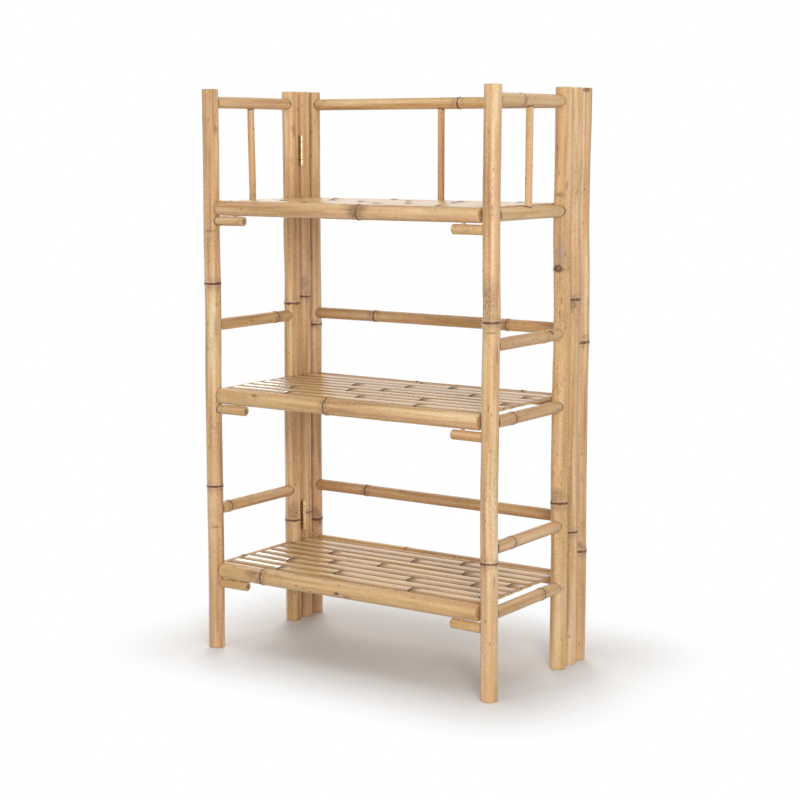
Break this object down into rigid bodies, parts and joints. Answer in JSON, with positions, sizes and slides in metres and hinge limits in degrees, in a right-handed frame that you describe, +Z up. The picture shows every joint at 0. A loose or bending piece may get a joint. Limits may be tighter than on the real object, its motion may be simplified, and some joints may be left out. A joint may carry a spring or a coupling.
{
  "type": "folding shelving unit",
  "caption": "Folding bamboo shelving unit: slatted shelves swing up about rear rods between two side frames hinged to a back frame.",
  "frame": {"origin": "on the floor, under the middle of the unit's footprint", "axes": "+X to the right seen from the front, +Y towards the back, +Z up"},
  "size_m": [0.731, 0.3928, 1.2],
  "materials": {
    "bamboo_poles": "satin",
    "bamboo_rails": "satin",
    "bamboo_slats": "gloss",
    "bamboo_dowels": "matte",
    "brass": "satin",
    "steel": "satin"
  },
  "bodies": {
    "back_frame": {"back_post_left": "bamboo_poles", "back_post_right": "bamboo_poles", "spacer_post_left": "bamboo_poles", "spacer_post_right": "bamboo_poles", "back_rail_lower_shelf": "bamboo_rails", "back_rail_lower_middle": "bamboo_rails", "back_rail_middle_shelf": "bamboo_rails", "back_rail_upper_middle": "bamboo_rails", "back_rail_upper_shelf": "bamboo_rails", "back_rail_top": "bamboo_rails", "back_spindle": "bamboo_rails", "spacer_dowels": "bamboo_dowels", "fixed_hinge_leaves_left": "brass", "fixed_hinge_leaves_right": "brass", "hinge_pins": "brass", "fixed_leaf_screws": "steel"},
    "left_side_frame": {"front_post_left": "bamboo_poles", "rear_post_left": "bamboo_poles", "left_rail_lower_shelf": "bamboo_rails", "left_rail_lower_middle": "bamboo_rails", "left_rail_middle_shelf": "bamboo_rails", "left_rail_upper_middle": "bamboo_rails", "left_rail_upper_shelf": "bamboo_rails", "left_rail_top": "bamboo_rails", "left_spindle": "bamboo_rails", "lower_peg_left": "bamboo_rails", "middle_peg_left": "bamboo_rails", "upper_peg_left": "bamboo_rails", "peg_dowels_left": "bamboo_dowels", "moving_hinge_leaves_left": "brass", "moving_leaf_screws_left": "steel"},
    "right_side_frame": {"front_post_right": "bamboo_poles", "rear_post_right": "bamboo_poles", "right_rail_lower_shelf": "bamboo_rails", "right_rail_lower_middle": "bamboo_rails", "right_rail_middle_shelf": "bamboo_rails", "right_rail_upper_middle": "bamboo_rails", "right_rail_upper_shelf": "bamboo_rails", "right_rail_top": "bamboo_rails", "right_spindle": "bamboo_rails", "lower_peg_right": "bamboo_rails", "middle_peg_right": "bamboo_rails", "upper_peg_right": "bamboo_rails", "peg_dowels_right": "bamboo_dowels", "moving_hinge_leaves_right": "brass", "moving_leaf_screws_right": "steel"},
    "lower_shelf": {"lower_front_beam": "bamboo_poles", "lower_pivot_rod": "bamboo_poles", "lower_bearers": "bamboo_rails", "lower_slats": "bamboo_slats"},
    "middle_shelf": {"middle_front_beam": "bamboo_poles", "middle_pivot_rod": "bamboo_poles", "middle_bearers": "bamboo_rails", "middle_slats": "bamboo_slats"},
    "upper_shelf": {"upper_front_beam": "bamboo_poles", "upper_pivot_rod": "bamboo_poles", "upper_bearers": "bamboo_rails", "upper_slats": "bamboo_slats"}
  },
  "joints": [
    {"name": "lower_shelf_fold", "type": "hinge", "parent": "back_frame", "child": "lower_shelf", "pos_m": [0, 0.138, 0.1763], "axis": [-1, 0, 0], "range_deg": [0, 93]},
    {"name": "middle_shelf_fold", "type": "hinge", "parent": "back_frame", "child": "middle_shelf", "pos_m": [0, 0.138, 0.5557], "axis": [-1, 0, 0], "range_deg": [0, 93]},
    {"name": "upper_shelf_fold", "type": "hinge", "parent": "back_frame", "child": "upper_shelf", "pos_m": [0, 0.138, 0.9536], "axis": [-1, 0, 0], "range_deg": [0, 93]},
    {"name": "left_side_fold", "type": "hinge", "parent": "back_frame", "child": "left_side_frame", "pos_m": [-0.332, 0.117, 0.656], "axis": [0, 0, 1], "range_deg": [-0.15, 0.15]},
    {"name": "right_side_fold", "type": "hinge", "parent": "back_frame", "child": "right_side_frame", "pos_m": [0.332, 0.117, 0.656], "axis": [0, 0, -1], "range_deg": [-0.15, 0.15]}
  ]
}
